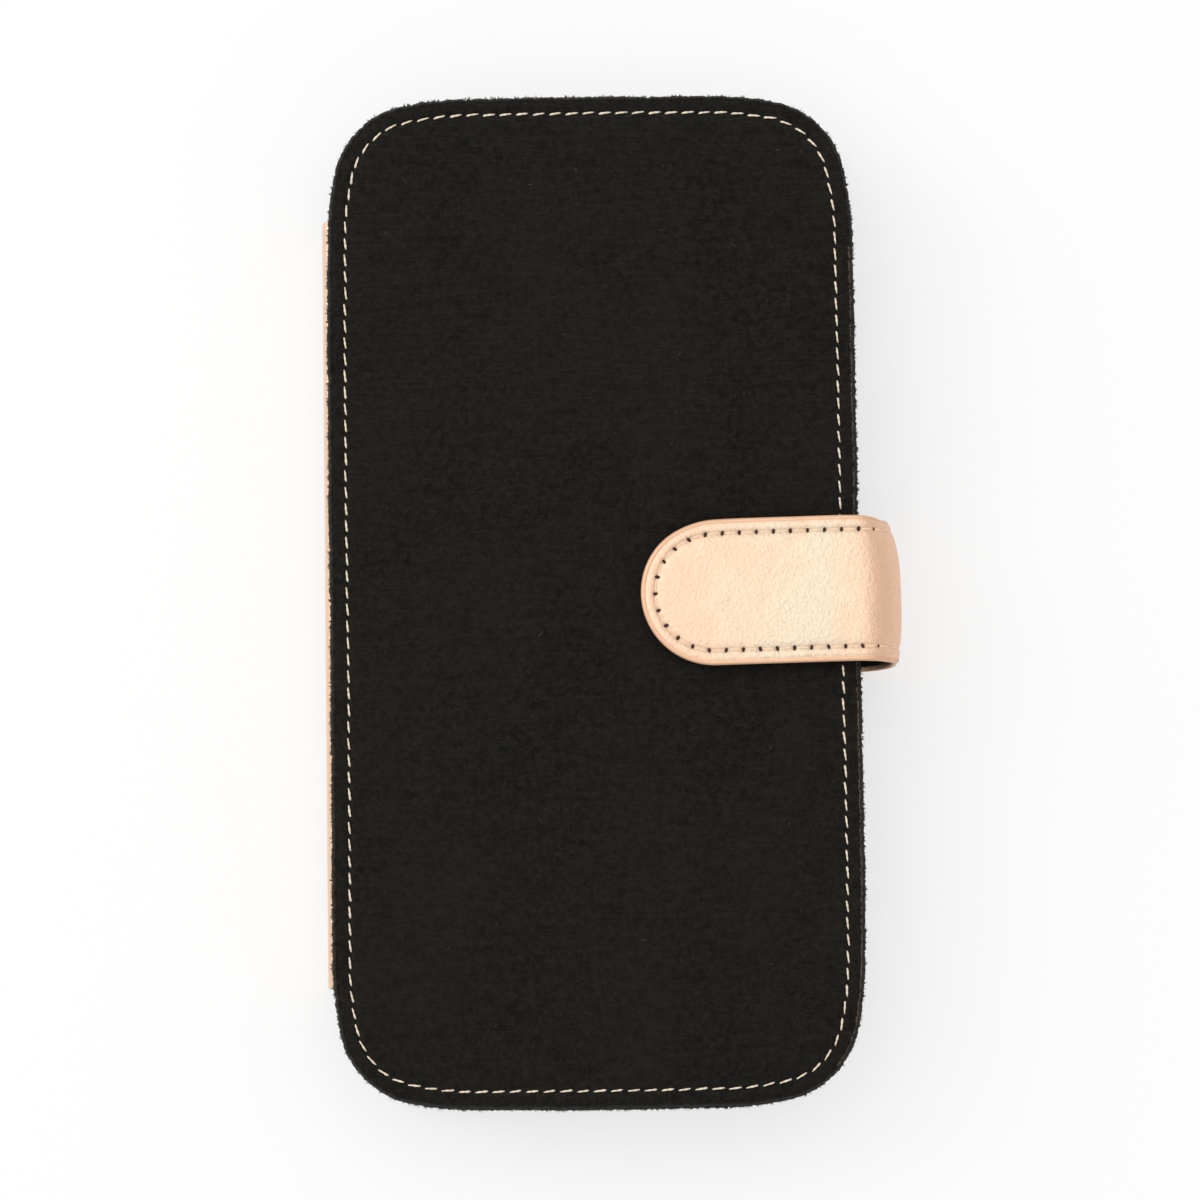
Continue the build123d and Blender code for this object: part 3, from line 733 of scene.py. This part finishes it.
def tab_shell(name, rows, surface, nodes, stitched):
    """A layer of the strap from its tip to halfway down its side."""
    pull = np.zeros(len(tab_straight))
    for index in hole_index:
        pull[index] = 1.0
        pull[index - 1] = pull[index + 1] = 0.45
    points, uv = [], []
    for inset, h in rows:
        s, u = tab_curve(inset)
        sunk = 0.2 * exp(-(((inset - STRAP_STITCH_INSET) / 0.4) ** 2)) if stitched and h > -0.6 else 0.0
        wavy = 0.05 * np.sin(s * 2.1 + u) if stitched and 1.2 < inset < 2.3 else 0.0
        points.append(strap_place(s, u, h - sunk * pull + wavy * (0.5 - pull)))
        uv.append(np.stack([s, u], 1))
    columns = len(points[0])
    starts = [i * columns for i in range(len(rows))]
    faces = grid(len(rows), columns, flip=True)
    faces.append(tuple([i + columns - 1 for i in starts] + list(reversed(starts))))
    made = flat_ends(add_piece(name, np.vstack(points), faces, surface, np.vstack(uv)), 1)
    if stitched:
        step = columns - 1
        also(made, leather_edge, [i * step + j for i in rim_rows(rows) for j in range(step)])
    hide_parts(*nodes)
    return made


def strip_shell(name, rows, start_s, end_s, steps, surface, nodes, stitched):
    """A closed band of a strap layer between two places. Its start tucks into the piece before."""
    half = [(STRAP_HALF - inset, h) for inset, h in rows]
    loop = [(-u, h) for u, h in half] + [(u, h) for u, h in reversed(half)]
    middle = (rows[0][1] + rows[-1][1]) / 2
    points, uv = [], []
    for s in [start_s - 2 * TUCK, start_s - TUCK, *np.linspace(start_s, end_s, steps - 2)]:
        tuck = min((start_s - s) / TUCK, 1.0) if s < start_s else 0.0
        for u, h in loop:
            points.append(strap_place(s, u * (1 - 0.003 * tuck), h + 0.07 * tuck * (middle - h)))
            uv.append((s, u))
    faces = grid(steps, len(loop), True, flip=True) + end_caps(len(points), len(loop))
    made = flat_ends(add_piece(name, points, faces, surface, uv), 2)
    if stitched:
        rim = rim_rows(rows)
        rim += [len(loop) - 2 - i for i in rim]
        also(made, leather_edge, [k * len(loop) + i for k in range(steps - 1) for i in rim])
    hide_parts(*nodes)
    return made


def blend_upper(made):
    """Bakes a piece of the strap between the tab and the side into place, unbent."""
    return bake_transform(made)


def blend_lower(made):
    """Bakes a piece of the strap between the side and the back panel into place, unbent."""
    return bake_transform(made)


ROOT_S = TAB_LENGTH + 2 * ARC_LENGTH + SIDE_LENGTH + 0.75
leather_upper = weld(tab_shell("strap_leather_upper", LEATHER_ROWS, leather,
                               ["strap_tab_leather", "strap_side_leather"], True))
lining_upper = weld(tab_shell("strap_lining_upper", LINING_ROWS, strap_lining_cloth,
                              ["strap_tab_lining", "strap_side_lining"], False))
leather_lower = weld(strip_shell("strap_leather_lower", LEATHER_ROWS, SPLIT_S, ROOT_S, 60,
                                 leather, ["strap_root_leather"], True))
lining_lower = weld(strip_shell("strap_lining_lower", LINING_ROWS, SPLIT_S, ROOT_S, 60,
                                strap_lining_cloth, ["strap_root_lining"], False))
for piece, flat, area, bent in (
    (leather_upper, (0.0275, 0.0578), 0.00151, blend_upper),
    (lining_upper, (0.0259, 0.0552), 0.00136, blend_upper),
    (leather_lower, (0.0275, 0.0177), 0.00048, blend_lower),
    (lining_lower, (0.0259, 0.0159), 0.00041, blend_lower),
):
    bent(piece)


def needle_holes():
    """Shallow dishes coloured dark as painted shade in the slits that the strap's thread goes down
    through.
    """
    line_s, line_u = tab_curve(STRAP_STITCH_INSET)
    points, faces = [], []
    for index in hole_index:
        s, u = line_s[index], line_u[index]
        if s > TAB_LENGTH + 6:
            continue
        lift, centre = strap_up(s, u), strap_place(s, u, -0.32)
        ahead = strap_place(line_s[index + 1], line_u[index + 1], -0.32) - centre
        ahead /= np.linalg.norm(ahead)
        across = np.cross(lift, ahead)
        size = random.uniform(0.9, 1.05) * (1.0 if s < TAB_LENGTH + 1.5 else 0.55)
        turn = random.uniform(-0.4, 0.4)
        ahead, across = ahead * cos(turn) + across * sin(turn), across * cos(turn) - ahead * sin(turn)
        start = len(points)
        points.append(centre)
        for radius, rise in ((0.6, 0.03), (1.0, 0.12)):
            for k in range(12):
                angle = 2 * pi * k / 12
                flat = HOLE_HALF_LENGTH * cos(angle) * ahead + HOLE_HALF_WIDTH * sin(angle) * across
                height = rise + 0.11 * radius * sin(angle) ** 2
                points.append(centre + radius * size * flat + height * lift)
        faces += [(start, start + 1 + k, start + 1 + (k + 1) % 12) for k in range(12)]
        faces += [(start + 1 + k, start + 13 + k, start + 13 + (k + 1) % 12, start + 1 + (k + 1) % 12)
                  for k in range(12)]
    return add_piece("strap_needle_holes", points, faces, slit_shade)


def strap_stitches():
    """The strap's thread, sunk between its needle holes."""
    line_s, line_u = tab_curve(STRAP_STITCH_INSET)
    first, last = hole_index[:-1], hole_index[1:]
    together = last - first == SAMPLES_PER_HOLE
    first, last = first[together], last[together]
    middle = (first + last) // 2
    way = strap_place(line_s[last], line_u[last], -0.3) - strap_place(line_s[first], line_u[first], -0.3)
    way /= np.linalg.norm(way, axis=1)[:, None]
    s, u = line_s[middle], line_u[middle]
    return stitches("strap_stitches", strap_place(s, u, -0.31), way, strap_up(s, u),
                    2.7, 0.42, 0.3, 0.05, 0.07, gold_thread, wander=0.03)


blend_upper(needle_holes())
blend_upper(strap_stitches())


# Spine


def swept_sheet(name, path, thickness, half_length, surface, nodes, columns=90, centre_y=0.0):
    """A sheet that follows a path in X and Z and runs along Y, with rounded long ends."""
    path = np.array(path, float)
    way = np.gradient(path, axis=0)
    way /= np.linalg.norm(way, axis=1)[:, None]
    side = np.column_stack([-way[:, 1], way[:, 0]])
    run = run_along(path)
    loop = [(-half_length + t, k) for t, k in ((0.0, 0.0), (0.05, 0.3), (0.2, 0.45), (0.5, 0.5))]
    inner = [(y, 0.5) for y in np.linspace(-half_length + 1.5, half_length - 1.5, columns)]
    top = loop + inner + [(-y, k) for y, k in reversed(loop[1:])] + [(half_length, 0.0)]
    bottom = [(y, -k) for y, k in reversed(top[1:-1])]
    section = top + bottom
    points, uv = [], []
    for (x, z), (sx, sz), s in zip(path, side, run):
        for y, k in section:
            points.append((x + sx * thickness * k, centre_y + y, z + sz * thickness * k))
            uv.append((s, y))
    faces = grid(len(path), len(section), True, flip=True) + end_caps(len(points), len(section))
    made = flat_ends(add_piece(name, points, faces, surface, uv), 2)
    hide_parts(*nodes)
    return made


def quarter(centre, radius, start, stop, count=14):
    """Points along an arc in X and Z, by degrees from +X towards +Z."""
    return [(centre[0] + radius * cos(radians(a)), centre[1] + radius * sin(radians(a)))
            for a in np.linspace(start, stop, count)]


def mirrored(path):
    """A path of the lower half at its place in the upper half."""
    return [(x, DEPTH - z) for x, z in path]


SPINE_HALF, SPINE_BULGE = 72.4, 0.5
lower_leather = [(x, 3.3) for x in np.linspace(-43, -49.0, 8)] + quarter((-49.1, 4.25), 0.9, 270, 180)
lower_leather += [(-50.02 - SPINE_BULGE * sin(pi * (z - 4.3) / (DEPTH - 8.6)) ** 0.8, z)
                  for z in np.linspace(4.6, DEPTH / 2, 14)]
lower_lining = [(x, 4.3) for x in np.linspace(-44.6, -46.4, 4)] + quarter((-46.5, 5.7), 1.4, 270, 180)
lower_lining += [(-48.05, z) for z in np.linspace(6.2, DEPTH / 2, 12)]
for name, path, thick, half, surface, slot, width in (
    ("spine_leather", lower_leather, 0.85, SPINE_HALF, leather, "rose_gold_leather", 0.0155),
    ("spine_lining", lower_lining, 0.45, SPINE_HALF - 0.8, lining_cloth, "lining", 0.0107),
):
    for end, line, cover, low_z, high_z in (
        ("_lower", path, "back", 0.0033, 0.0046),
        ("_upper", mirrored(path), "front", 0.0213, 0.02),
    ):
        flange = [cover + "_spine_flange"] if name == "spine_leather" else []
        half_sheet = swept_sheet(name + end, line, thick, half, surface, [name] + flange)
        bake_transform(half_sheet)


# Inside

LOOP_PITCH, LOOP_RADIUS, LOOP_LEG, ELASTIC, LOOPS = 12.0, 4.15, 2.6, 0.9, 7


def band_path():
    """The elastic's wave: flat where it is sewn down, with a round loop for each hook."""
    points = [(-44.0, 0.45), (-43.0, 0.45)]
    for i in range(LOOPS):
        centre = (i + 0.5 - LOOPS / 2) * LOOP_PITCH
        points += [(centre - 5.4, 0.45)]
        points += quarter((centre - LOOP_RADIUS - 0.75, 1.2), 0.75, 270, 360, 6)
        points += [(centre - LOOP_RADIUS, LOOP_LEG)]
        points += quarter((centre, LOOP_LEG), LOOP_RADIUS, 180, 0, 22)[1:-1]
        points += [(centre + LOOP_RADIUS, LOOP_LEG)]
        points += quarter((centre + LOOP_RADIUS + 0.75, 1.2), 0.75, 180, 270, 6)
        points += [(centre + 5.4, 0.45)]
    return [(x, LINING_DEPTH + z) for x, z in points + [(43.0, 0.45), (44.0, 0.45)]]


def bar_tacks(name, centre_y):
    """Zigzag stitching that holds a band down between its loops."""
    centres, along = [], []
    for i in range(LOOPS + 1):
        x = (i - LOOPS / 2) * LOOP_PITCH
        x += 0.6 if i == 0 else -0.6 if i == LOOPS else 0.0
        for k in range(34):
            y = centre_y - 10.2 + k * 20.4 / 33
            centres.append((x, y, LINING_DEPTH + 0.93))
            turn = radians(14 if k % 2 else -14)
            along.append((cos(turn), sin(turn), 0.0))
    made = stitches(name, np.array(centres), along, [(0, 0, 1)] * len(centres),
                    1.5, 0.26, 0.2, 0.0, 0.05, black_thread)
    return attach(made, "back_cover")


for name, centre_y in (("upper_hook_band", 40.5), ("lower_hook_band", -45.5)):
    band = swept_sheet(name + "_elastic", band_path(), ELASTIC * 0.9, 11.0, elastic, [name],
                       30, centre_y)
    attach(band, "back_cover")
    bar_tacks(name + "_bar_tacks", centre_y)


POCKET_HALF, POCKET_LOW, POCKET_MOUTH, POCKET_ROUND = 41.95, -85.5, 10.0, 9.0
BINDING_HALF, BINDING_Z, BINDING_BELLY = 41.3, 14.5, 0.5


def pocket_curve(inset):
    """A line round the pocket at an inset: one side, the bottom with round corners, the other side."""
    half, radius = POCKET_HALF - inset, POCKET_ROUND - min(inset, 8.5)
    low = POCKET_LOW + inset
    side_y = np.linspace(POCKET_MOUTH, low + radius, 60)
    down = [(half, y) for y in side_y]
    corner = quarter((half - radius, low + radius), radius, 0, -90, 14)[1:]
    base = [(x, low) for x in np.linspace(half - radius, -half + radius, 50)[1:]]
    other = quarter((-half + radius, low + radius), radius, 270, 180, 14)[1:]
    up = [(-half, y) for y in side_y[::-1][1:]]
    return np.array(down + corner + base + other + up)


def accessory_pocket():
    """The gusseted pocket: a pleated wall off the lining, and a face that bellies out a little."""
    rows = [(-1.6, 4.2), (-0.6, 4.25), (0.1, 4.5), (0.75, 5.2), (1.3, 6.2), (1.5, 7.1), (1.2, 8.0),
            (0.5, 8.8), (0.05, 9.5), (0.1, 9.95), (0.5, 10.1), (1.2, 10.12), (2.4, 10.15), (5.0, 10.25),
            (8.4, 10.35)]
    rings = []
    for inset, depth in rows:
        line = pocket_curve(inset)
        rings.append(np.column_stack([line, np.full(len(line), DEPTH - depth)]))
    rim = rings[-1]
    centre = np.column_stack([np.zeros(len(rim)), np.clip(rim[:, 1], -44, POCKET_MOUTH)])
    for share in (0.12, 0.3, 0.5, 0.7, 0.86, 1.0):
        flat = rim[:, :2] * (1 - share) + centre * share
        x, y = flat.T
        slack = 0.16 * np.sin(x / 8.0 + y / 31.0) + 0.1 * np.sin(y / 7.0 - x / 19.0)
        rings.append(np.column_stack([flat, DEPTH - rows[-1][1] - share * (0.25 + slack)]))
    made = weld(add_piece("accessory_pocket_cloth", np.vstack(rings), grid(len(rings), len(rim)),
                          pocket_cloth))
    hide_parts("accessory_pocket")
    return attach(made, "front_cover")


def binding_z(x):
    """The height of the pocket's mouth, which bellies out a little in the middle."""
    return BINDING_Z - BINDING_BELLY * (1 - (x / BINDING_HALF) ** 2)


def pocket_binding():
    """The leather folded over the pocket's mouth, with a line of stitches."""
    loop = [(4.0, 0.15), (4.3, -0.32), (5.2, -0.42), (8.5, -0.42), (9.9, -0.36), (10.4, 0.0),
            (10.45, 0.35), (10.2, 0.8), (9.6, 1.02), (6.0, 1.02), (4.2, 1.0), (4.05, 0.7)]
    columns = np.linspace(-BINDING_HALF, BINDING_HALF, 120)
    points, uv = [], []
    run = run_along(loop)
    for x in columns:
        for (y, z), s in zip(loop, run):
            points.append((x, y, binding_z(x) + z))
            uv.append((x, s))
    faces = grid(len(columns), len(loop), True) + end_caps(len(points), len(loop), flip=True)
    made = add_piece("pocket_binding_leather", points, faces, leather, uv)
    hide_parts("pocket_binding")
    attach(made, "front_cover")
    xs = np.arange(-39.6, 39.7, 3.1)
    centres = np.array([(x, 5.3, binding_z(x) - 0.47) for x in xs])
    thread = stitches("pocket_binding_stitches", centres, [(1, 0, 0)] * len(xs), [(0, 0, -1)] * len(xs),
                      2.4, 0.4, 0.3, 0.12, 0.12, gold_thread)
    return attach(thread, "front_cover")


def pocket_stitches():
    """The stitches that hold the pocket's flange down on the lining."""
    line = pocket_curve(-0.95)
    run = run_along(line)
    at = np.arange(1.6, run[-1] - 1.0, 3.1)
    flat = np.stack([np.interp(at, run, line[:, k]) for k in (0, 1)], 1)
    ahead = np.stack([np.interp(at + 0.5, run, line[:, k]) for k in (0, 1)], 1) - flat
    ahead /= np.linalg.norm(ahead, axis=1)[:, None]
    centres = np.column_stack([flat, np.full(len(at), DEPTH - 4.22)])
    along = np.column_stack([ahead, np.zeros(len(at))])
    made = stitches("pocket_stitches", centres, along, [(0, 0, -1)] * len(at), 2.35, 0.34, 0.26, 0.1, 0.1,
                    cream_thread)
    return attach(made, "front_cover")


accessory_pocket()
pocket_binding()
pocket_stitches()


# Solids that stay

for node, surface in (
    ("back_board", greyboard), ("front_board", greyboard), ("spine_board", greyboard),
    ("snap_socket", nickel), ("snap_stud", nickel), ("snap_socket_washer", steel),
    ("snap_stud_washer", steel), ("snap_magnet", magnet), ("strap_tab_stiffener", stiffener),
):
    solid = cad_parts[node]
    solid.data.materials.clear()
    solid.data.materials.append(surface)


# Stage, light and camera

TABLE_HALF, TABLE_Z, TABLE_GLOW = 3000.0, -0.03, 0.66
SURROUND = 0.64


def floor_material():
    """A white table that keeps the object's shadow."""
    made, tree, shader = material("white_table")
    shader.inputs["Base Color"].default_value = (0.9, 0.9, 0.9, 1)
    shader.inputs["Roughness"].default_value = 0.6
    shader.inputs["Specular IOR Level"].default_value = 0.2
    glow = tree.nodes.new("ShaderNodeEmission")
    glow.inputs["Color"].default_value = (1, 1, 1, 1)
    glow.inputs["Strength"].default_value = 1.0
    path = tree.nodes.new("ShaderNodeLightPath")
    seen = math_node(tree, "MAXIMUM", path.outputs["Is Camera Ray"], path.outputs["Is Glossy Ray"])
    share = math_node(tree, "MULTIPLY", seen, TABLE_GLOW)
    mix = tree.nodes.new("ShaderNodeMixShader")
    tree.links.new(share, mix.inputs["Fac"])
    tree.links.new(shader.outputs["BSDF"], mix.inputs[1])
    tree.links.new(glow.outputs["Emission"], mix.inputs[2])
    tree.links.new(mix.outputs["Shader"], tree.nodes["Material Output"].inputs["Surface"])
    return made


def stage_and_light():
    """The white table, a wide overhead softbox, a window from the left and a pale surround."""
    corners = [(x * TABLE_HALF, y * TABLE_HALF, TABLE_Z) for x, y in ((-1, -1), (1, -1), (1, 1), (-1, 1))]
    floor = add_piece("table", corners, [(0, 1, 2, 3)], floor_material(), smooth=False)
    world = bpy.data.worlds.new("studio")
    bpy.context.scene.world = world
    world.use_nodes = True
    back = world.node_tree.nodes["Background"]
    back.inputs["Color"].default_value = (1, 1, 1, 1)
    back.inputs["Strength"].default_value = SURROUND
    for name, place, size, power in (
        ("overhead", (-0.35, 0.25, 1.5), 2.2, 15.0),
        ("window", (-1.4, 0.6, 1.0), 0.8, 6.0),
    ):
        lamp = bpy.data.lights.new(name, "AREA")
        lamp.size, lamp.energy = size, power
        made = bpy.data.objects.new(name, lamp)
        made.location = place
        made.rotation_mode = "QUATERNION"
        made.rotation_quaternion = (-Vector(place)).to_track_quat("-Z", "Y")
        bpy.context.scene.collection.objects.link(made)


def camera():
    """The photograph's view: nearly straight down, from 1.2 m, with a long lens."""
    lens = bpy.data.cameras.new("camera")
    lens.lens, lens.sensor_width = 188.6, 36.0
    lens.clip_start, lens.clip_end = 0.05, 20
    made = bpy.data.objects.new("camera", lens)
    bpy.context.scene.collection.objects.link(made)
    turn = Matrix.Rotation(radians(4.99), 4, "X") @ Matrix.Rotation(radians(-0.69), 4, "Z")
    made.matrix_world = Matrix.Translation((0.0011, -0.1030, 1.2)) @ turn
    bpy.context.scene.camera = made


stage_and_light()
camera()
bpy.context.scene.view_settings.view_transform = "Standard"
